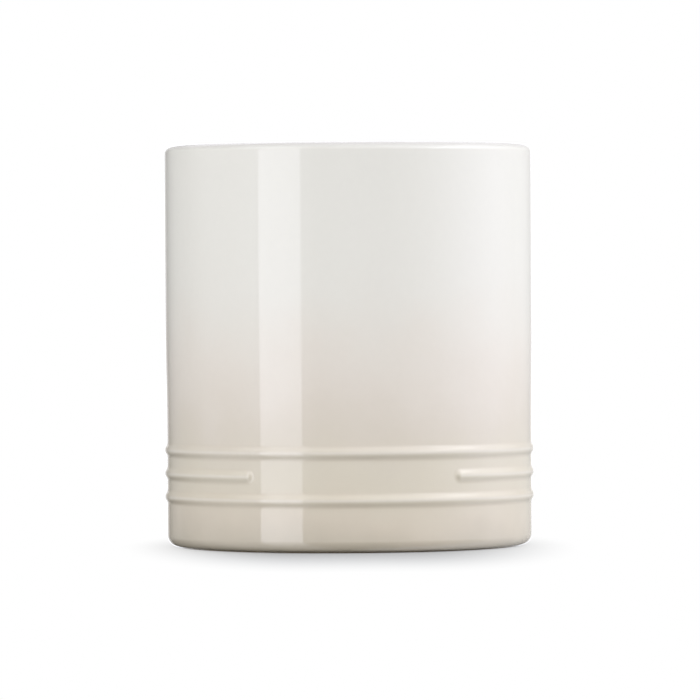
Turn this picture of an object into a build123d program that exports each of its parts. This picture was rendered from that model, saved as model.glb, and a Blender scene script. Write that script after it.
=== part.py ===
from build123d import *
import os
from math import asin, cos, degrees, radians, sin, sqrt

# A round stoneware utensil crock with three raised ribs near its foot.
# Millimetres, +Z up, origin on the table under the middle of the crock.
# The gap in the middle rib faces -Y, which is the front.
# It is one clay body with three coats of glaze, which are separate solids.
# Outside and inside sizes are those of the glazed surface. Clay lies one glaze thickness behind it.

# Glazed outside of the wall
overall_height = 165.5
rim_radius = 76.0            # the upright upper wall
band_inset = 0.5             # how much narrower the ribbed band is than the upper wall
band_top = 44.0              # the wall starts to widen here
upper_wall_start = 97.0      # and is upright again from here to the lip
base_round = 4.5             # from the band down to the foot

# Glazed inside
wall_thickness = 5.5         # at the rim, glaze included
floor_height = 7.5           # top of the glazed floor above the table
floor_round = 8.0            # from the floor up into the wall
lip_outer_round = 3.0
lip_inner_round = 2.0

# Glaze
glaze_thickness = 0.35

# Bare foot ring
foot_height = 0.35           # the glazed base curve ends this far above the table
foot_setback = 0.45          # the ring stands this far inside the end of the glaze
foot_width = 4.5
foot_edge_round = 0.4
recess_height = 2.0          # clay above the table inside the foot ring
recess_round = 1.0
recess_glaze_margin = 1.5    # bare clay between the ring and the glazed underside

# Raised ribs
rib_count = 3
rib_pitch = 9.6
lowest_rib_height = 21.0
rib_rise = 1.0
rib_crest_round = 3.0
rib_root_round = 3.2
rib_toe_angle = 6.0          # the last slope of a rib where it runs into the wall, in degrees
rib_embed = 0.25             # how far a rib's solid reaches into the wall behind it
gapped_rib = 1               # the middle one, counted from 0 at the bottom
rib_gap_width = 85.0         # round the band, from nose to nose

# What follows from the sizes above
band_radius = rim_radius - band_inset
bore_radius = rim_radius - wall_thickness
split_radius = bore_radius + lip_inner_round        # outside and inside glaze meet on the lip here
glaze_end_radius = band_radius - base_round         # outside glaze ends under the base curve here
foot_outer_radius = glaze_end_radius - foot_setback
foot_inner_radius = foot_outer_radius - foot_width
rib_half_width = sqrt(2 * (rib_crest_round + rib_root_round) * rib_rise - rib_rise**2)
nose_half_angle = degrees((rib_gap_width / 2 + rib_half_width) / band_radius)
gap_direction = -90.0                               # degrees from +X to the front
above_lip = 1.0                                     # how far cutting solids run past a face


def turn(outline, arc=360.0):
    """A solid of revolution about Z from edges drawn as (radius, height)."""
    return revolve(Plane.XZ * make_face(outline), Axis.Z, arc)


def disc(radius, low, high):
    """A plain upright cylinder from one height to another."""
    return Pos(0, 0, low) * Cylinder(radius, high - low, align=(Align.CENTER, Align.CENTER, Align.MIN))


def wall_curve(inset):
    """The wall from the band up to the upright upper wall: two wide arcs that meet half way."""
    rise = upper_wall_start - band_top
    sweep_radius = (rise**2 + band_inset**2) / (4 * band_inset)
    lean = degrees(asin(rise / 2 / sweep_radius))
    lower = CenterArc((band_radius + sweep_radius, band_top), sweep_radius + inset, 180, -lean)
    upper = CenterArc((rim_radius - sweep_radius, upper_wall_start), sweep_radius - inset, -lean, lean)
    return lower, upper


def smooth_form(inset):
    """The outside of the crock as a filled solid without its ribs, inset behind the glazed surface."""
    under = foot_height + inset
    top = overall_height - inset
    base_arc = CenterArc((glaze_end_radius, foot_height + base_round), base_round - inset, -90, 90)
    lower, upper = wall_curve(inset)
    lip_centre = (rim_radius - lip_outer_round, overall_height - lip_outer_round)
    lip_arc = CenterArc(lip_centre, lip_outer_round - inset, 0, 90)
    outline = [
        Line((0, under), base_arc @ 0),
        base_arc,
        Line(base_arc @ 1, lower @ 0),
        lower,
        upper,
        Line(upper @ 1, lip_arc @ 0),
        lip_arc,
        Line(lip_arc @ 1, (0, top)),
        Line((0, top), (0, under)),
    ]
    return turn(outline)


def rib_flank(inset):
    """Half of a rib's section as (radius, height over its middle): crest arc, root arc and toe."""
    crest_centre = (band_radius + rib_rise - rib_crest_round, 0)
    root_centre = (band_radius + rib_root_round, rib_half_width)
    slope = degrees(asin(rib_half_width / (rib_crest_round + rib_root_round)))
    crest = CenterArc(crest_centre, rib_crest_round - inset, 0, slope)
    root = CenterArc(root_centre, rib_root_round + inset, 180 + slope, rib_toe_angle - slope)
    toe_start = root @ 1
    depth = band_radius - inset - rib_embed
    run = (toe_start.X - depth) / sin(radians(rib_toe_angle))
    toe_end = (depth, toe_start.Y + run * cos(radians(rib_toe_angle)))
    return [crest, root, Line(toe_start, toe_end)], depth


def rib_section(inset):
    """The whole section of a rib about its middle height."""
    upper, depth = rib_flank(inset)
    lower = [mirror(edge, Plane.XZ) for edge in upper]
    back = Line(upper[-1] @ 1, lower[-1] @ 1)
    return make_face(upper + lower + [back])


def rib_nose(inset):
    """The rounded end of a rib: half of its section turned through a half circle about a radius."""
    upper, depth = rib_flank(inset)
    back = Line(upper[-1] @ 1, (depth, 0))
    middle = Line((depth, 0), upper[0] @ 0)
    return revolve(Plane.XZ * make_face(upper + [back, middle]), Axis.X, 180)


def ribs(inset):
    """The raised ribs. All are full rings but the gapped one, which ends in two noses."""
    section = Plane.XZ * rib_section(inset)
    solids = []
    for index in range(rib_count):
        place = Pos(0, 0, lowest_rib_height + index * rib_pitch)
        if index != gapped_rib:
            solids.append(place * revolve(section, Axis.Z, 360))
            continue
        start = gap_direction + nose_half_angle
        end = gap_direction - nose_half_angle
        nose = rib_nose(inset)
        solids.append(place * Rot(0, 0, start) * revolve(section, Axis.Z, 360 - 2 * nose_half_angle))
        solids.append(place * Rot(0, 0, start) * nose)
        solids.append(place * Rot(0, 0, end) * Rot(180, 0, 0) * nose)
    return solids


def outer_form(inset):
    """The filled outside with its ribs."""
    form = smooth_form(inset)
    for rib in ribs(inset):
        form = form + rib
    return form


def cavity(inset):
    """The room inside, grown by inset behind the glazed surface, and open past the lip."""
    bottom = floor_height - inset
    floor_arc = CenterArc((bore_radius - floor_round, floor_height + floor_round), floor_round + inset, -90, 90)
    lip_arc = CenterArc((split_radius, overall_height - lip_inner_round), lip_inner_round - inset, 180, -90)
    top = overall_height + above_lip
    outline = [
        Line((0, bottom), floor_arc @ 0),
        floor_arc,
        Line(floor_arc @ 1, lip_arc @ 0),
        lip_arc,
        Line(lip_arc @ 1, (split_radius, top)),
        Line((split_radius, top), (0, top)),
        Line((0, top), (0, bottom)),
    ]
    return turn(outline)


def foot_ring():
    """The ring of bare clay that the crock stands on, with its edges eased."""
    top = foot_height + glaze_thickness + foot_edge_round
    ring = disc(foot_outer_radius, 0, top) - disc(foot_inner_radius, 0, top)
    return fillet(ring.edges().group_by(Axis.Z)[0], foot_edge_round)


def recess():
    """The shallow hollow under the floor, inside the foot ring."""
    corner = CenterArc((foot_inner_radius - recess_round, recess_height - recess_round), recess_round, 0, 90)
    outline = [
        Line((0, 0), (foot_inner_radius, 0)),
        Line((foot_inner_radius, 0), corner @ 0),
        corner,
        Line(corner @ 1, (0, recess_height)),
        Line((0, recess_height), (0, 0)),
    ]
    return turn(outline)


def stoneware_body():
    """The fired clay: wall, floor, ribs and bare foot ring in one piece."""
    return outer_form(glaze_thickness) + foot_ring() - recess() - cavity(glaze_thickness)


def outer_glaze():
    """The coloured coat: from under the base curve, up over the ribs and wall, and onto the lip."""
    coat = outer_form(0) - outer_form(glaze_thickness)
    over_mouth = disc(split_radius, overall_height - 2 * glaze_thickness, overall_height + above_lip)
    under_floor = disc(glaze_end_radius, 0, foot_height + 2 * glaze_thickness)
    return coat - over_mouth - under_floor


def inner_glaze():
    """The coat that lines the floor and the wall, up to the outside coat on the lip."""
    above = disc(rim_radius, overall_height, overall_height + 2 * above_lip)
    return cavity(glaze_thickness) - cavity(0) - above


def base_glaze():
    """The round of glaze on the underside, inside the foot ring."""
    radius = foot_inner_radius - recess_glaze_margin
    coat = disc(radius, recess_height - glaze_thickness, recess_height)
    return fillet(coat.edges().group_by(Axis.Z)[0], glaze_thickness / 2)


pieces = {
    "stoneware_body": stoneware_body(),
    "outer_glaze": outer_glaze(),
    "inner_glaze": inner_glaze(),
    "base_glaze": base_glaze(),
}

os.makedirs("parts", exist_ok=True)
for name, shape in pieces.items():
    export_step(shape, f"parts/{name}.step")
    print(name, len(shape.solids()), "solid", round(shape.volume / 1000, 2), "cm3")
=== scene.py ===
from math import cos, degrees, radians, sin, sqrt

import bmesh
import bpy
import numpy as np
from mathutils import Matrix, Vector


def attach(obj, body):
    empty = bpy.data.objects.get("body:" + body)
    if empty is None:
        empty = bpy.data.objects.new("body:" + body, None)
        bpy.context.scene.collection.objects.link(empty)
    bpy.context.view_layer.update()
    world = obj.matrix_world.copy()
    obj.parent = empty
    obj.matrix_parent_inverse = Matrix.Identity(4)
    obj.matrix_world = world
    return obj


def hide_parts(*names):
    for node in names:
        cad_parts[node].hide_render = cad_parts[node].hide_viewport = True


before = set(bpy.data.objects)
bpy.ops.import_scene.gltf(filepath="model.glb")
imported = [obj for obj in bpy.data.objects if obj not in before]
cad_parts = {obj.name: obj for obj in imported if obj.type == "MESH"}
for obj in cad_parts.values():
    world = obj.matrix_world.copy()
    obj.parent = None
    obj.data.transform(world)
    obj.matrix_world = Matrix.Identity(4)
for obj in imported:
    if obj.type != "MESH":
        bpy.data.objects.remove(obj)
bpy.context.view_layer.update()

# A glazed stoneware utensil crock. Its section is drawn in mm and turned round Z.
# The front, with the gap in the middle rib, faces -Y.
mm = 0.001
tiny = 1e-6                     # mm or degrees that count as nothing
pureWhite = (1, 1, 1, 1)


# Shared helpers

def hexToLinear(code):
    # an sRGB hex colour in the linear light that shaders take
    channels = [int(code[i:i + 2], 16) / 255 for i in (0, 2, 4)]
    linear = [c / 12.92 if c <= 0.04045 else ((c + 0.055) / 1.055) ** 2.4 for c in channels]
    return (*linear, 1.0)


def addNode(tree, kind, settings=None, **links):
    # In settings, a plain key is a property of the node, and a key in a tuple is the name or
    # number of an input that gets a constant. A link names its input with _ for a space, or
    # gives its number after an i.
    node = tree.nodes.new(kind)
    for key, value in (settings or {}).items():
        if isinstance(key, tuple):
            node.inputs[key[0]].default_value = value
        else:
            setattr(node, key, value)
    for name, source in links.items():
        socket = int(name[1:]) if name[0] == "i" and name[1:].isdigit() else name.replace("_", " ")
        tree.links.new(source, node.inputs[socket])
    return node


def newMaterial(name):
    material = bpy.data.materials.new(name)
    material.use_nodes = True
    material.node_tree.nodes.clear()
    return material, material.node_tree


def newObject(name, data):
    made = bpy.data.objects.new(name, data)
    bpy.context.scene.collection.objects.link(made)
    return made


def arcPoints(centreR, centreZ, radius, start, end, steps):
    # (radius, height) along an arc, from one angle in degrees to another
    angles = [radians(start + (end - start) * i / steps) for i in range(steps + 1)]
    return [(centreR + radius * cos(a), centreZ + radius * sin(a)) for a in angles]


def runPoints(startPoint, endPoint, spacing):
    # points along a straight run, without its two ends
    length = sqrt((endPoint[0] - startPoint[0]) ** 2 + (endPoint[1] - startPoint[1]) ** 2)
    count = max(1, round(length / spacing))
    shares = [i / count for i in range(1, count)]
    return [(startPoint[0] + (endPoint[0] - startPoint[0]) * s,
             startPoint[1] + (endPoint[1] - startPoint[1]) * s) for s in shares]


# The crock's real sizes in mm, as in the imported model

crock = {
    "height": 165.5,
    "rimRadius": 76.0,          # upright upper wall
    "bandInset": 0.5,           # the ribbed band is this much narrower
    "bandTop": 44.0,            # the wall starts to widen here
    "upperWallStart": 97.0,     # and is upright again from here
    "baseRound": 4.5,
    "wall": 5.5,
    "floorTop": 7.5,
    "floorRound": 8.0,
    "lipOuterRound": 3.0,
    "lipInnerRound": 2.0,
    "glaze": 0.35,
    "footHeight": 0.35,         # bare clay shows below this
    "footSetback": 0.45,
    "footWidth": 4.5,
    "footEdgeRound": 0.4,
    "recessHeight": 2.0,
    "recessRound": 1.0,
    "recessMargin": 1.5,        # bare clay between the foot ring and the glazed underside
}
# what follows from the sizes above
crock["bandRadius"] = crock["rimRadius"] - crock["bandInset"]
crock["boreRadius"] = crock["rimRadius"] - crock["wall"]
crock["splitRadius"] = crock["boreRadius"] + crock["lipInnerRound"]
crock["glazeEndRadius"] = crock["bandRadius"] - crock["baseRound"]
crock["footOuter"] = crock["glazeEndRadius"] - crock["footSetback"]
crock["footInner"] = crock["footOuter"] - crock["footWidth"]

ribs = {
    "heights": (21.0, 30.6, 40.2),
    "gapped": 1,                # the middle rib stops at the front
    "rise": 1.0,
    "crestRound": 3.0,
    "rootRound": 3.2,
    "gapWidth": 85.0,           # round the band, nose to nose
}
# a rib's section is a crest arc that runs into a root arc on either side
ribs["bothRounds"] = ribs["crestRound"] + ribs["rootRound"]
ribs["halfWidth"] = sqrt(2 * ribs["bothRounds"] * ribs["rise"] - ribs["rise"] ** 2)
ribs["crestEnd"] = ribs["crestRound"] * ribs["halfWidth"] / ribs["bothRounds"]
ribs["noseAngle"] = (ribs["gapWidth"] / 2 + ribs["halfWidth"]) / crock["bandRadius"]

mesh = {
    # degrees between columns round the crock
    "columnStep": 1.0,
    "noseStep": 0.25,           # where the middle rib ends
    "noseSpan": 5.0,            # and this far to either side of its end
    # mm between rows
    "ribRow": 0.35,
    "hiddenRibRow": 0.7,        # between the glaze and the clay
    "wallRow": 2.5,
    "wellRow": 5.0,
    "floorRow": 6.0,
    "hiddenFloorRow": 12.0,
    "footRow": 0.6,
    "ribZone": (16.5, 45.0),    # heights between which the rows are as fine as over a rib
    "lipClearance": 0.5,        # the wall's last row stays this far under the lip's curve
    # faces along each curve of the section
    "baseSteps": 14,
    "lipOuterSteps": 12,
    "lipInnerSteps": 10,
    "wellSteps": 12,
    "rollSteps": 6,
    "undersideSteps": 4,
    "recessSteps": 6,
    "footSteps": 5,
    "sharpAngle": 40,           # degrees between faces above which an edge is shaded sharp
}


def columnAngles():
    # measured from the front, clockwise seen from below, in radians
    nose = degrees(ribs["noseAngle"])
    angles, a = [], -180.0
    while a < 180.0 - tiny:
        angles.append(radians(a))
        near = abs(abs(a + mesh["noseStep"]) - nose) < mesh["noseSpan"]
        a += mesh["noseStep"] if near else mesh["columnStep"]
    return np.array(angles)


def ribDistance(index, z, angles):
    # how far points lie from the middle line of a rib, or from its end where it stops
    past = np.zeros_like(angles)
    if index == ribs["gapped"]:
        past = np.clip((ribs["noseAngle"] - np.abs(angles)) * crock["bandRadius"], 0, None)
    return np.sqrt((z - ribs["heights"][index]) ** 2 + past ** 2)


def ribHeight(z, angles):
    # how far the ribs stand out of the band at one height, for every column
    total = np.zeros_like(angles)
    for index in range(len(ribs["heights"])):
        s = ribDistance(index, z, angles)
        onCrest = np.sqrt(np.clip(ribs["crestRound"] ** 2 - s ** 2, 0, None))
        crest = ribs["rise"] - ribs["crestRound"] + onCrest
        toToe = np.clip(ribs["halfWidth"] - s, 0, ribs["rootRound"])
        root = ribs["rootRound"] - np.sqrt(ribs["rootRound"] ** 2 - toToe ** 2)
        total += np.where(s < ribs["crestEnd"], crest, root)
    return total


def wallRadius(z):
    # the band, the upper wall, and two wide curves between them that meet half way
    share = (z - crock["bandTop"]) / (crock["upperWallStart"] - crock["bandTop"])
    share = min(max(share, 0), 1)
    bend = 2 * share ** 2 if share < 0.5 else 1 - 2 * (1 - share) ** 2
    return crock["bandRadius"] + crock["bandInset"] * bend


def outsideSection(inset, ribRow):
    # from under the base, up over the wall, to the split on the lip
    c = crock
    points = arcPoints(c["glazeEndRadius"], c["footHeight"] + c["baseRound"],
                       c["baseRound"] - inset, -90, 0, mesh["baseSteps"])
    z = points[-1][1]
    low, high = mesh["ribZone"]
    lipStart = c["height"] - c["lipOuterRound"]
    while True:
        z += ribRow if low < z < high else mesh["wallRow"]
        if z > lipStart - mesh["lipClearance"]:
            break
        points.append((wallRadius(z) - inset, z))
    points += arcPoints(c["rimRadius"] - c["lipOuterRound"], lipStart,
                        c["lipOuterRound"] - inset, 0, 90, mesh["lipOuterSteps"])
    points.append((c["splitRadius"], c["height"] - inset))
    return points


def insideSection(inset):
    # from the split on the lip, down the well, to the middle of the floor
    c = crock
    points = arcPoints(c["splitRadius"], c["height"] - c["lipInnerRound"],
                       c["lipInnerRound"] - inset, 90, 180, mesh["lipInnerSteps"])
    wellFoot = (c["boreRadius"] + inset, c["floorTop"] + c["floorRound"])
    points += runPoints(points[-1], wellFoot, mesh["wellRow"])
    points += arcPoints(c["boreRadius"] - c["floorRound"], c["floorTop"] + c["floorRound"],
                        c["floorRound"] + inset, 0, -90, mesh["wellSteps"])
    points += runPoints(points[-1], (0, c["floorTop"] - inset), mesh["floorRow"])
    points.append((0, c["floorTop"] - inset))
    return points


def tagged(points, relief):
    # the same points, with 1 for the ribbed outside or 0 for a plain face
    return [(r, z, relief) for r, z in points]


def turnSection(name, section):
    # section: closed loop of (radius, height, relief), where relief is 1 on the ribbed outside
    angles = columnAngles()
    columns = len(angles)
    coords, rings = [], []
    for radius, z, relief in section:
        if radius < tiny:
            rings.append((len(coords), 1))
            coords.append((0.0, 0.0, z))
            continue
        reach = np.full(columns, radius)
        if relief:
            reach = reach + ribHeight(z, angles)
        rings.append((len(coords), columns))
        coords += zip(reach * np.sin(angles), -reach * np.cos(angles), [z] * columns)
    faces = []
    for (first, a), (second, b) in zip(rings, rings[1:] + rings[:1]):
        if a == 1 and b == 1:
            continue
        for i in range(columns):
            j = (i + 1) % columns
            if a == 1:
                faces.append((first, second + j, second + i))
            elif b == 1:
                faces.append((first + i, first + j, second))
            else:
                faces.append((first + i, first + j, second + j, second + i))
    data = bpy.data.meshes.new(name)
    data.from_pydata([(x * mm, y * mm, z * mm) for x, y, z in coords], [], faces)
    build = bmesh.new()
    build.from_mesh(data)
    bmesh.ops.recalc_face_normals(build, faces=build.faces)
    build.to_mesh(data)
    build.free()
    data.shade_smooth()
    data.set_sharp_from_angle(angle=radians(mesh["sharpAngle"]))
    return newObject(name, data)


# The four pieces

def makeOuterGlaze():
    c = crock
    front = outsideSection(0, mesh["ribRow"])
    back = outsideSection(c["glaze"], mesh["hiddenRibRow"])
    # a rolled edge where the glaze stops above the foot
    roll = arcPoints(c["glazeEndRadius"], c["footHeight"] + c["glaze"] / 2, c["glaze"] / 2,
                     -90, -270, mesh["rollSteps"])[1:-1]
    section = tagged(front, 1) + tagged(back[::-1], 1) + tagged(roll[::-1], 0)
    piece = turnSection("ombreGlazeCoat", section)
    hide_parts("outer_glaze")
    return piece


def makeInnerGlaze():
    section = tagged(insideSection(0), 0) + tagged(insideSection(crock["glaze"])[::-1], 0)
    piece = turnSection("linerGlazeCoat", section)
    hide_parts("inner_glaze")
    return piece


def makeBaseGlaze():
    c = crock
    radius = c["footInner"] - c["recessMargin"]
    low, high = c["recessHeight"] - c["glaze"], c["recessHeight"]
    edge = c["glaze"] / 2
    bottom = [(0, low)] + runPoints((0, low), (radius - edge, low), mesh["floorRow"])
    bottom += arcPoints(radius - edge, low + edge, edge, -90, 0, mesh["undersideSteps"])
    top = [(radius, high)] + runPoints((radius, high), (0, high), mesh["hiddenFloorRow"]) + [(0, high)]
    piece = turnSection("undersideGlazeCoat", tagged(bottom + top, 0))
    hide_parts("base_glaze")
    return piece


def makeClay():
    c = crock
    g = c["glaze"]
    outside = outsideSection(g, mesh["hiddenRibRow"])
    inside = insideSection(g)[1:]
    edge = c["footEdgeRound"]
    recess = [(0, c["recessHeight"])]
    recess += runPoints(recess[0], (c["footInner"] - c["recessRound"], c["recessHeight"]),
                        mesh["floorRow"])
    recess += arcPoints(c["footInner"] - c["recessRound"], c["recessHeight"] - c["recessRound"],
                        c["recessRound"], 90, 0, mesh["recessSteps"])
    foot = arcPoints(c["footInner"] + edge, edge, edge, 180, 270, mesh["footSteps"])
    foot += runPoints((c["footInner"] + edge, 0), (c["footOuter"] - edge, 0), mesh["footRow"])
    foot += arcPoints(c["footOuter"] - edge, edge, edge, 270, 360, mesh["footSteps"])
    foot.append((c["footOuter"], c["footHeight"] + g))
    section = tagged(recess + foot, 0) + tagged(outside, 1) + tagged(inside, 0)
    piece = turnSection("firedClayBody", section)
    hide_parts("stoneware_body")
    return piece


# Materials

glaze = {
    # what all the coats share
    "ior": 1.56,
    "rippleDetail": 1.0,
    "rippleRoughness": 0.4,
}

ombre = {
    # height above the table in mm, and the fired colour there
    "stops": ((4, "C5BCAA"), (14, "D4C9B7"), (30, "D7D0BD"), (47, "D5CCBD"),
              (64, "DDD5C9"), (84, "DFD9CE"), (108, "E0DED5"), (150, "E1DFD6")),
    "cloudSize": 28.0,          # mm across a soft cloud in the sprayed coat
    "cloudDetail": 2.0,
    "cloudSpan": (0.3, 0.7),    # the clouds' values that are stretched to the whole shift
    "cloudShift": 5.0,          # mm that the fade wanders up and down
    "mottleSize": 3.0,          # mm across a fine patch
    "mottleDetail": 3.0,
    "mottle": 0.012,            # and how much brighter or darker it is
    "breakAndHighlightColour": "EAE6DD",    # lighter colour on a rib's crest: thin glaze and a painted highlight
    "breakAndHighlightFrom": 0.45,          # how far up the rib it starts, where the crest is 1
    "breakAndHighlightMost": 0.35,          # how much of it the crest gets
    "poolAndShadeColour": "BDB09C",     # darker colour in a rib's root: thick glaze and a painted shade
    "poolAndShadeFrom": -0.2,           # the root's deepest place is -1
    "poolAndShadeMost": 0.12,
    "poolAndShadeShift": 0.3,           # mm that its deepest place lies outside the middle of the root
    "poolAndShadeReach": 1.3,           # mm from there to where the pool and its painted shade end
    "lipShadeColour": "D0CDC8",      # painted shade on the lip: a darker colour where the light from above falls strongest
    "lipShadeFrom": 163.3,           # mm above the table
    "lipShadeTo": 165.2,
    "orangePeel": 1.4,          # mm between the ripples of the glaze
    "orangePeelDepth": 0.004,
    "roughness": 0.05,
}


def glazeSurface(tree, position, colour, settings):
    # a glassy top over the fired colour, with the faint ripple of a coat that melted and set
    ripple = addNode(tree, "ShaderNodeTexNoise", {
        ("Scale",): 1 / (settings["orangePeel"] * mm),
        ("Detail",): glaze["rippleDetail"],
        ("Roughness",): glaze["rippleRoughness"],
    }, Vector=position)
    bump = addNode(tree, "ShaderNodeBump", {
        ("Strength",): 1.0,
        ("Distance",): settings["orangePeelDepth"] * mm,
    }, Height=ripple.outputs["Fac"])
    surface = addNode(tree, "ShaderNodeBsdfPrincipled", {
        ("Roughness",): settings["roughness"],
        ("IOR",): glaze["ior"],
    }, Base_Color=colour, Normal=bump.outputs[0])
    addNode(tree, "ShaderNodeOutputMaterial", Surface=surface.outputs[0])


def markRibForm(piece):
    # what the thin glaze with its painted highlight and the pooled glaze with its painted shade follow: 1
    # on a rib's crest, -1 in its root, 0 on the plain wall
    coords = np.empty(len(piece.data.vertices) * 3)
    piece.data.vertices.foreach_get("co", coords)
    x, y, z = coords.reshape(-1, 3).T / mm
    angles = np.arctan2(x, -y)
    rootMiddle = (ribs["crestEnd"] + ribs["halfWidth"]) / 2 + ombre["poolAndShadeShift"]
    form = np.zeros(len(z))
    for index in range(len(ribs["heights"])):
        s = ribDistance(index, z, angles)
        crest = np.clip(1 - s / ribs["crestEnd"], 0, 1)
        root = np.clip(1 - np.abs(s - rootMiddle) / ombre["poolAndShadeReach"], 0, 1)
        form += crest - root
    attribute = piece.data.attributes.new("ribForm", "FLOAT", "POINT")
    attribute.data.foreach_set("value", form)


def makeOmbreMaterial():
    # sprayed gloss glaze on stoneware, off-white fading to beige, with sharp clean reflections
    s = ombre
    material, tree = newMaterial("ombreGlossGlaze")
    position = addNode(tree, "ShaderNodeTexCoord").outputs["Object"]
    height = addNode(tree, "ShaderNodeSeparateXYZ", Vector=position).outputs["Z"]

    # the fade by height, which wanders up and down a little
    cloud = addNode(tree, "ShaderNodeTexNoise", {
        ("Scale",): 1 / (s["cloudSize"] * mm),
        ("Detail",): s["cloudDetail"],
    }, Vector=position).outputs["Fac"]
    wander = addNode(tree, "ShaderNodeMapRange", {
        ("From Min",): s["cloudSpan"][0],
        ("From Max",): s["cloudSpan"][1],
        ("To Min",): -s["cloudShift"] * mm,
        ("To Max",): s["cloudShift"] * mm,
    }, Value=cloud).outputs[0]
    fadeHeight = addNode(tree, "ShaderNodeMath", {"operation": "ADD"}, i0=height, i1=wander).outputs[0]
    top = s["stops"][-1][0]
    share = addNode(tree, "ShaderNodeMapRange", {("From Max",): top * mm}, Value=fadeHeight).outputs[0]
    fade = addNode(tree, "ShaderNodeValToRGB", i0=share)
    fade.color_ramp.interpolation = "B_SPLINE"
    elements = fade.color_ramp.elements
    while len(elements) < len(s["stops"]):
        elements.new(0.5)
    for element, (z, code) in zip(elements, s["stops"]):
        element.position = z / top
        element.color = hexToLinear(code)

    # lighter on a rib's crest, where the glaze breaks, with a painted highlight; darker in the root, where
    # it pools, with a painted shade
    form = addNode(tree, "ShaderNodeAttribute", {"attribute_name": "ribForm"}).outputs["Fac"]
    crest = addNode(tree, "ShaderNodeMapRange", {
        ("From Min",): s["breakAndHighlightFrom"],
        ("To Max",): s["breakAndHighlightMost"],
    }, Value=form).outputs[0]
    # painted highlight on the crest, together with the thin glaze there
    thinAndHighlit = addNode(tree, "ShaderNodeMix", {
        "data_type": "RGBA",
        (7,): hexToLinear(s["breakAndHighlightColour"]),
    }, i0=crest, i6=fade.outputs[0]).outputs[2]
    # painted shade in the root, together with the pooled glaze there
    root = addNode(tree, "ShaderNodeMapRange", {
        ("From Min",): s["poolAndShadeFrom"],
        ("From Max",): -1.0,
        ("To Max",): s["poolAndShadeMost"],
    }, Value=form).outputs[0]
    pooledAndShaded = addNode(tree, "ShaderNodeMix", {
        "data_type": "RGBA",
        (7,): hexToLinear(s["poolAndShadeColour"]),
    }, i0=root, i6=thinAndHighlit).outputs[2]

    # painted shade: darker on the lip
    lipShadeShare = addNode(tree, "ShaderNodeMapRange", {
        ("From Min",): s["lipShadeFrom"] * mm,
        ("From Max",): s["lipShadeTo"] * mm,
    }, Value=height).outputs[0]
    lip = addNode(tree, "ShaderNodeMix", {
        "data_type": "RGBA",
        (7,): hexToLinear(s["lipShadeColour"]),
    }, i0=lipShadeShare, i6=pooledAndShaded).outputs[2]

    # a fine mottle over all of it
    mottle = addNode(tree, "ShaderNodeTexNoise", {
        ("Scale",): 1 / (s["mottleSize"] * mm),
        ("Detail",): s["mottleDetail"],
    }, Vector=position).outputs["Fac"]
    tone = addNode(tree, "ShaderNodeMapRange", {
        ("To Min",): 1 - s["mottle"],
        ("To Max",): 1 + s["mottle"],
    }, Value=mottle).outputs[0]
    colour = addNode(tree, "ShaderNodeHueSaturation", Value=tone, Color=lip).outputs[0]
    glazeSurface(tree, position, colour, s)
    return material


liner = {
    "colour": "E8E5E0",
    "shade": "DDD8D0",
    "cloudSize": 22.0,          # mm across a drift
    "cloudDetail": 3.0,
    "cloudSpan": (0.35, 0.7),   # the drifts' values between which the colour turns to the shade
    "runLength": 0.35,          # below 1 the drifts are drawn out downwards
    "orangePeel": 1.8,
    "orangePeelDepth": 0.005,
    "roughness": 0.08,
}


def makeLinerMaterial():
    # poured gloss liner glaze: even off-white with faint drifts where it ran
    s = liner
    material, tree = newMaterial("pouredLinerGlaze")
    position = addNode(tree, "ShaderNodeTexCoord").outputs["Object"]
    drawn = addNode(tree, "ShaderNodeMapping", {("Scale",): (1, 1, s["runLength"])}, Vector=position)
    cloud = addNode(tree, "ShaderNodeTexNoise", {
        ("Scale",): 1 / (s["cloudSize"] * mm),
        ("Detail",): s["cloudDetail"],
    }, Vector=drawn.outputs[0]).outputs["Fac"]
    share = addNode(tree, "ShaderNodeMapRange", {
        ("From Min",): s["cloudSpan"][0],
        ("From Max",): s["cloudSpan"][1],
    }, Value=cloud).outputs[0]
    colour = addNode(tree, "ShaderNodeMix", {
        "data_type": "RGBA",
        (6,): hexToLinear(s["colour"]),
        (7,): hexToLinear(s["shade"]),
    }, i0=share).outputs[2]
    glazeSurface(tree, position, colour, s)
    return material


clay = {
    "colour": "C9BBA2",
    "toasted": "B59F80",        # darker where the kiln's flame reached the bare clay
    "toastSize": 18.0,
    "toastDetail": 4.0,
    "toastSpan": (0.4, 0.7),
    "speck": "7A6550",
    "speckSize": 1.6,           # mm from one iron speck to the next
    "speckEdge": (0.16, 0.08),  # a speck fades in between these shares of that distance
    "speckMost": 0.8,
    "gritSize": 0.55,
    "gritDetail": 3.0,
    "gritRoughness": 0.7,
    "gritDepth": 0.06,
    "gritStrength": 0.8,
    "roughness": 0.9,
    "ior": 1.45,
    "specular": 0.25,
}


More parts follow.
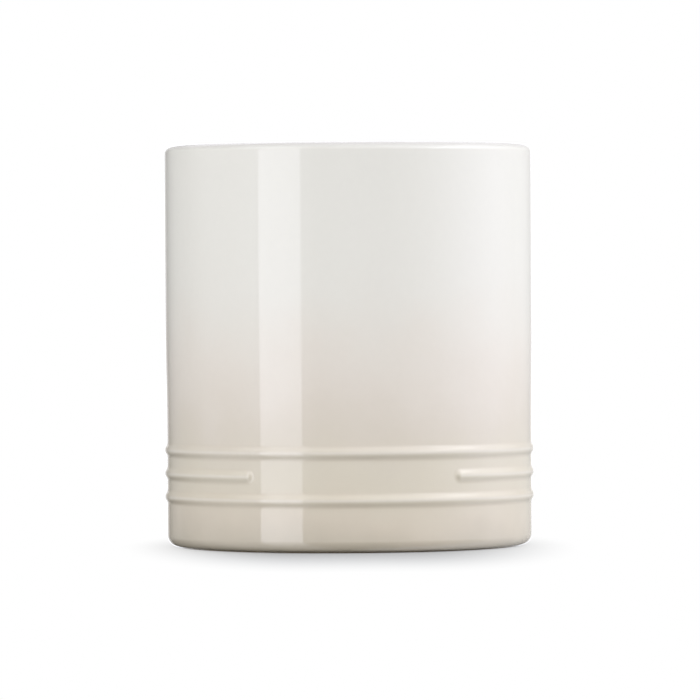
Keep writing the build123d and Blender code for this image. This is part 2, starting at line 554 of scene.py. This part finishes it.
def makeClayMaterial():
    # bare fired stoneware, wiped and ground flat on the foot: matt, sandy, with iron specks
    s = clay
    material, tree = newMaterial("bareFiredStoneware")
    position = addNode(tree, "ShaderNodeTexCoord").outputs["Object"]
    toast = addNode(tree, "ShaderNodeTexNoise", {
        ("Scale",): 1 / (s["toastSize"] * mm),
        ("Detail",): s["toastDetail"],
    }, Vector=position).outputs["Fac"]
    toastShare = addNode(tree, "ShaderNodeMapRange", {
        ("From Min",): s["toastSpan"][0],
        ("From Max",): s["toastSpan"][1],
    }, Value=toast).outputs[0]
    body = addNode(tree, "ShaderNodeMix", {
        "data_type": "RGBA",
        (6,): hexToLinear(s["colour"]),
        (7,): hexToLinear(s["toasted"]),
    }, i0=toastShare).outputs[2]
    cells = addNode(tree, "ShaderNodeTexVoronoi", {
        ("Scale",): 1 / (s["speckSize"] * mm),
    }, Vector=position).outputs["Distance"]
    speckShare = addNode(tree, "ShaderNodeMapRange", {
        ("From Min",): s["speckEdge"][0],
        ("From Max",): s["speckEdge"][1],
        ("To Max",): s["speckMost"],
    }, Value=cells).outputs[0]
    speckled = addNode(tree, "ShaderNodeMix", {
        "data_type": "RGBA",
        (7,): hexToLinear(s["speck"]),
    }, i0=speckShare, i6=body).outputs[2]
    grit = addNode(tree, "ShaderNodeTexNoise", {
        ("Scale",): 1 / (s["gritSize"] * mm),
        ("Detail",): s["gritDetail"],
        ("Roughness",): s["gritRoughness"],
    }, Vector=position).outputs["Fac"]
    bump = addNode(tree, "ShaderNodeBump", {
        ("Strength",): s["gritStrength"],
        ("Distance",): s["gritDepth"] * mm,
    }, Height=grit)
    surface = addNode(tree, "ShaderNodeBsdfPrincipled", {
        ("Roughness",): s["roughness"],
        ("IOR",): s["ior"],
        ("Specular IOR Level",): s["specular"],
    }, Base_Color=speckled, Normal=bump.outputs[0])
    addNode(tree, "ShaderNodeOutputMaterial", Surface=surface.outputs[0])
    return material


# The set: room, table, soft boxes and camera

daylight = {
    "colour": "F4F5FF",         # the soft boxes and the room's brightest sides are a little cool
    "gain": 1.1,                # makes up for what the colour takes away
}


def daylightColour():
    red, green, blue, alpha = hexToLinear(daylight["colour"])
    return (red * daylight["gain"], green * daylight["gain"], blue * daylight["gain"], alpha)


studio = {
    # how bright the room is round the crock, in bands one above the other
    # each stop is degrees from the front towards the right, and the brightness there
    "below": ((-180, 0.0), (-140, 0.16), (-100, 0.85), (-60, 1.05), (-20, 0.0), (20, 0.0),
              (60, 0.53), (100, 1.65), (140, 1.0), (180, 0.0)),
    "low": ((-180, 1.87), (-160, 0.18), (-140, 0.58), (-120, 0.69), (-100, 1.07), (-80, 1.07),
            (-60, 1.32), (-40, 1.15), (-20, 0.64), (0, 0.76), (20, 0.58), (40, 0.88), (60, 1.38),
            (80, 1.79), (100, 1.8), (120, 1.21), (140, 0.92), (160, 0.64), (180, 1.87)),
    "middle": ((-180, 0.86), (-140, 0.34), (-100, 0.84), (-60, 1.07), (-20, 0.75), (20, 1.07),
               (60, 2.93), (100, 2.48), (140, 0.7), (180, 0.86)),
    "high": ((-180, 1.76), (-140, 0.85), (-100, 0.27), (-60, 2.21), (-20, 0.53), (20, 1.51),
             (60, 1.79), (100, 2.27), (140, 0.69), (180, 1.76)),
    "top": 0.76,
    "bandEdges": (-10, 12, 28, 50),     # degrees above the horizon where one band gives way to the next
    "bandBlend": 4,
    "coolFrom": 0.8,                    # brightness above which the room turns to daylight
    "coolTo": 1.7,
    "brightest": 4.0,                   # what a ramp's white stands for
}


def lightLevels(tree, share, stops, brightest):
    # stops: (place from 0 to 1, brightness); the ramp itself holds greys from 0 to 1
    ramp = addNode(tree, "ShaderNodeValToRGB", i0=share)
    elements = ramp.color_ramp.elements
    while len(elements) < len(stops):
        elements.new(0.5)
    for element, (place, level) in zip(elements, stops):
        element.position = place
        element.color = (level / brightest, level / brightest, level / brightest, 1)
    scaled = addNode(tree, "ShaderNodeMath", {"operation": "MULTIPLY", (1,): brightest}, i0=ramp.outputs[0])
    return scaled.outputs[0]


def makeRoom():
    # the camera sees plain white, and everything else the bands of light
    s = studio
    world = bpy.data.worlds.new("paleStudio")
    bpy.context.scene.world = world
    world.use_nodes = True
    tree = world.node_tree
    tree.nodes.clear()
    direction = addNode(tree, "ShaderNodeTexCoord").outputs["Generated"]
    axes = addNode(tree, "ShaderNodeSeparateXYZ", Vector=direction)
    ahead = addNode(tree, "ShaderNodeMath", {"operation": "MULTIPLY", (1,): -1.0}, i0=axes.outputs["Y"])
    plan = addNode(tree, "ShaderNodeCombineXYZ", X=ahead.outputs[0], Y=axes.outputs["X"])
    turn = addNode(tree, "ShaderNodeTexGradient", {"gradient_type": "RADIAL"}, Vector=plan.outputs[0])
    bands = []
    for band in ("below", "low", "middle", "high"):
        stops = [((azimuth + 180) / 360, level) for azimuth, level in s[band]]
        bands.append(lightLevels(tree, turn.outputs["Fac"], stops, s["brightest"]))
    # each band gives way to the next one up, and the last to an even top
    level = bands[0]
    for edge, band in zip(s["bandEdges"], bands[1:] + [None]):
        share = addNode(tree, "ShaderNodeMapRange", {
            "interpolation_type": "SMOOTHSTEP",
            ("From Min",): sin(radians(edge - s["bandBlend"])),
            ("From Max",): sin(radians(edge + s["bandBlend"])),
        }, Value=axes.outputs["Z"]).outputs[0]
        blend = addNode(tree, "ShaderNodeMix", {"data_type": "FLOAT", (3,): s["top"]}, i0=share, i2=level)
        if band:
            tree.links.new(band, blend.inputs[3])
        level = blend.outputs[0]
    cool = addNode(tree, "ShaderNodeMapRange", {
        ("From Min",): s["coolFrom"],
        ("From Max",): s["coolTo"],
    }, Value=level)
    tint = addNode(tree, "ShaderNodeMix", {
        "data_type": "RGBA",
        (6,): pureWhite,
        (7,): daylightColour(),
    }, i0=cool.outputs[0])
    room = addNode(tree, "ShaderNodeBackground", Color=tint.outputs[2], Strength=level)
    seen = addNode(tree, "ShaderNodeBackground", {("Color",): pureWhite})
    rays = addNode(tree, "ShaderNodeLightPath").outputs["Is Camera Ray"]
    mix = addNode(tree, "ShaderNodeMixShader", Fac=rays, i1=room.outputs[0], i2=seen.outputs[0])
    addNode(tree, "ShaderNodeOutputWorld", Surface=mix.outputs[0])


table = {
    "radius": 0.6,              # metres, as are the other distances here but the last
    "segments": 96,
    "paper": "AFB0AF",          # painted shadow: grey paper that the camera sees near the crock, which the real shade darkens further
    "dim": "A9A9A6",            # what the crock gets back from it
    "dimNear": "B6B6B3",        # the same, close to the foot
    "dimNearTo": 0.13,
    "whiteFrom": 0.035,         # in front of the crock's axis, where the painted shadow starts to turn pure white
    "whiteTo": 0.25,
    "backFade": 1.6,            # behind the crock it turns white this much sooner
    "sideStart": 0.02,          # and beyond this far to either side
    "sideFade": 3.3,            # this much sooner
    "drop": 0.05,               # mm that it lies under the foot, so that the two don't share a face
}


def makeTable():
    # a round of white paper; its rim is lost in the white room
    t = table
    build = bmesh.new()
    bmesh.ops.create_circle(build, cap_ends=True, segments=t["segments"], radius=t["radius"])
    data = bpy.data.meshes.new("paperTable")
    build.to_mesh(data)
    build.free()
    paper = newObject("paperTable", data)
    paper.location.z = -t["drop"] * mm
    paper.visible_glossy = False        # the glaze shows the room below the horizon, as on a polished table
    material, tree = newMaterial("whitePaper")
    position = addNode(tree, "ShaderNodeTexCoord").outputs["Object"]

    # how far out a place counts as being; the painted shadow turns to white paper with it
    ahead = addNode(tree, "ShaderNodeVectorMath", {
        "operation": "MULTIPLY",
        (1,): (-1, -1, 0),
    }, i0=position).outputs[0]
    behind = addNode(tree, "ShaderNodeVectorMath", {
        "operation": "MULTIPLY",
        (1,): (1, t["backFade"], 0),
    }, i0=position).outputs[0]
    apart = addNode(tree, "ShaderNodeVectorMath", {"operation": "MAXIMUM"}, i0=ahead, i1=behind).outputs[0]
    past = addNode(tree, "ShaderNodeVectorMath", {
        "operation": "SUBTRACT",
        (1,): (t["sideStart"], 0, 0),
    }, i0=apart).outputs[0]
    beside = addNode(tree, "ShaderNodeVectorMath", {
        "operation": "MAXIMUM",
        (1,): (0, 0, 0),
    }, i0=past).outputs[0]
    squeezed = addNode(tree, "ShaderNodeVectorMath", {
        "operation": "MULTIPLY",
        (1,): (t["sideFade"], 1, 0),
    }, i0=beside).outputs[0]
    distance = addNode(tree, "ShaderNodeVectorMath", {"operation": "LENGTH"}, i0=squeezed).outputs["Value"]
    far = addNode(tree, "ShaderNodeMapRange", {
        "interpolation_type": "SMOOTHSTEP",
        ("From Min",): t["whiteFrom"],
        ("From Max",): t["whiteTo"],
    }, Value=distance).outputs[0]
    # painted shadow: the grey paper near the crock
    near = addNode(tree, "ShaderNodeBsdfDiffuse", {("Color",): hexToLinear(t["paper"])})
    white = addNode(tree, "ShaderNodeEmission", {("Color",): pureWhite})
    seen = addNode(tree, "ShaderNodeMixShader", Fac=far, i1=near.outputs[0], i2=white.outputs[0])

    # what it gives back to the crock
    fromAxis = addNode(tree, "ShaderNodeVectorMath", {"operation": "LENGTH"}, i0=position).outputs["Value"]
    away = addNode(tree, "ShaderNodeMapRange", {
        ("From Min",): crock["footOuter"] * mm,
        ("From Max",): t["dimNearTo"],
    }, Value=fromAxis).outputs[0]
    given = addNode(tree, "ShaderNodeMix", {
        "data_type": "RGBA",
        (6,): hexToLinear(t["dimNear"]),
        (7,): hexToLinear(t["dim"]),
    }, i0=away)
    dim = addNode(tree, "ShaderNodeBsdfDiffuse", Color=given.outputs[2])
    rays = addNode(tree, "ShaderNodeLightPath").outputs["Is Camera Ray"]
    mix = addNode(tree, "ShaderNodeMixShader", Fac=rays, i1=dim.outputs[0], i2=seen.outputs[0])

    # from below the paper is clear, so that the foot can be looked at
    side = addNode(tree, "ShaderNodeNewGeometry").outputs["Backfacing"]
    clear = addNode(tree, "ShaderNodeBsdfTransparent")
    sheet = addNode(tree, "ShaderNodeMixShader", Fac=side, i1=mix.outputs[0], i2=clear.outputs[0])
    addNode(tree, "ShaderNodeOutputMaterial", Surface=sheet.outputs[0])
    data.materials.append(material)


softboxes = {
    # places in metres; levels are (height, brightness) from the bottom up
    "leftStrip": {
        "azimuth": -40.9, "distance": 0.401, "facing": -45, "width": 0.185, "feather": 0.006,
        "levels": ((0.0, 2.4), (0.025, 1.75), (0.05, 2.05), (0.085, 1.7), (0.125, 1.68),
                   (0.18, 1.65), (0.3, 0.9), (0.45, 0.3), (0.8, 0.0)),
    },
    # the same strip as the polished table mirrors it in the glaze
    "leftStripInTable": {
        "azimuth": -40.9, "distance": 0.401, "facing": -45, "width": 0.185, "feather": 0.006,
        "levels": ((-0.42, 0.57), (-0.25, 1.14), (-0.09, 1.74), (0.0, 2.7)),
        "reflectionOnly": True,
    },
    "highRightBox": {
        "azimuth": 72, "distance": 0.69, "facing": 72, "width": 0.64, "feather": 0.2,
        "levels": ((0.3, 0.0), (0.42, 1.5), (0.54, 2.2), (0.66, 0.0)),
    },
    "highFrontBox": {
        "azimuth": 50, "distance": 0.69, "facing": 50, "width": 0.40, "feather": 0.14,
        "levels": ((0.3, 0.0), (0.42, 1.02), (0.54, 0.0)),
    },
}


def makeSoftbox(name, box):
    # an upright glowing cloth that only lights and reflects, and adds to the room behind it
    half = box["width"] / 2
    bottom, top = box["levels"][0][0], box["levels"][-1][0]
    corners = [(-half, 0, bottom), (half, 0, bottom), (half, 0, top), (-half, 0, top)]
    data = bpy.data.meshes.new(name)
    data.from_pydata(corners, [], [(0, 1, 2, 3)])
    panel = newObject(name, data)
    turn = radians(box["azimuth"])
    panel.location = (box["distance"] * sin(turn), -box["distance"] * cos(turn), 0)
    panel.rotation_euler = (0, 0, radians(box["facing"]))
    material, tree = newMaterial(name + "Cloth")
    position = addNode(tree, "ShaderNodeTexCoord").outputs["Object"]
    axes = addNode(tree, "ShaderNodeSeparateXYZ", Vector=position)
    out = addNode(tree, "ShaderNodeMath", {"operation": "ABSOLUTE"}, i0=axes.outputs["X"]).outputs[0]
    edge = addNode(tree, "ShaderNodeMapRange", {
        "interpolation_type": "SMOOTHSTEP",
        ("From Min",): half,
        ("From Max",): half - box["feather"],
    }, Value=out).outputs[0]
    share = addNode(tree, "ShaderNodeMapRange", {
        ("From Min",): bottom,
        ("From Max",): top,
    }, Value=axes.outputs["Z"]).outputs[0]
    stops = [((height - bottom) / (top - bottom), level) for height, level in box["levels"]]
    level = lightLevels(tree, share, stops, max(level for height, level in box["levels"]))
    glow = addNode(tree, "ShaderNodeMath", {"operation": "MULTIPLY"}, i0=edge, i1=level).outputs[0]
    light = addNode(tree, "ShaderNodeEmission", {("Color",): daylightColour()}, Strength=glow)
    clear = addNode(tree, "ShaderNodeBsdfTransparent")
    cloth = addNode(tree, "ShaderNodeAddShader", i0=light.outputs[0], i1=clear.outputs[0])
    addNode(tree, "ShaderNodeOutputMaterial", Surface=cloth.outputs[0])
    if box.get("reflectionOnly"):
        material.cycles.emission_sampling = "NONE"
    data.materials.append(material)
    panel.visible_camera = False
    panel.visible_shadow = False


camera = {
    "distance": 2.604,          # metres from the crock's axis
    "eyeHeight": 0.1114,
    "azimuth": -1.68,           # degrees, to the left of the front
    "focalPixels": 6292,        # in the 700 px frame
    "horizonRow": 276.4,
    "axisColumn": 348.75,
    "frame": 700,
    "roll": 0.35,               # degrees, the picture leans to the left
    "sensor": 36,               # mm
    "nearest": 0.05,            # metres, nothing nearer is seen
}


def makeCamera():
    c = camera
    data = bpy.data.cameras.new("photoCamera")
    data.sensor_width = c["sensor"]
    data.lens = c["sensor"] * c["focalPixels"] / c["frame"]
    data.clip_start = c["nearest"]
    shooter = newObject("photoCamera", data)
    turn = radians(c["azimuth"])
    place = Vector((c["distance"] * sin(turn), -c["distance"] * cos(turn), c["eyeHeight"]))
    drop = (c["frame"] / 2 - c["horizonRow"]) / c["focalPixels"]
    side = (c["frame"] / 2 - c["axisColumn"]) / c["focalPixels"]
    forward = Vector((-sin(turn), cos(turn), -drop))
    right = Vector((cos(turn), sin(turn), 0))
    aim = (forward + right * side).normalized()
    rotation = aim.to_track_quat("-Z", "Y").to_matrix() @ Matrix.Rotation(radians(-c["roll"]), 3, "Z")
    shooter.matrix_world = Matrix.Translation(place) @ rotation.to_4x4()
    bpy.context.scene.camera = shooter


print("crock: turning the clay and the glaze coats")
outerGlaze = makeOuterGlaze()
markRibForm(outerGlaze)
innerGlaze = makeInnerGlaze()
baseGlaze = makeBaseGlaze()
clayBody = makeClay()

print("crock: glazing")
linerMaterial = makeLinerMaterial()
outerGlaze.data.materials.append(makeOmbreMaterial())
innerGlaze.data.materials.append(linerMaterial)
baseGlaze.data.materials.append(linerMaterial)
clayBody.data.materials.append(makeClayMaterial())
for piece in (outerGlaze, innerGlaze, baseGlaze, clayBody):
    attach(piece, "root")

print("crock: setting the studio")
makeRoom()
makeTable()
for name, box in softboxes.items():
    makeSoftbox(name, box)
makeCamera()
bpy.context.scene.view_settings.view_transform = "Standard"
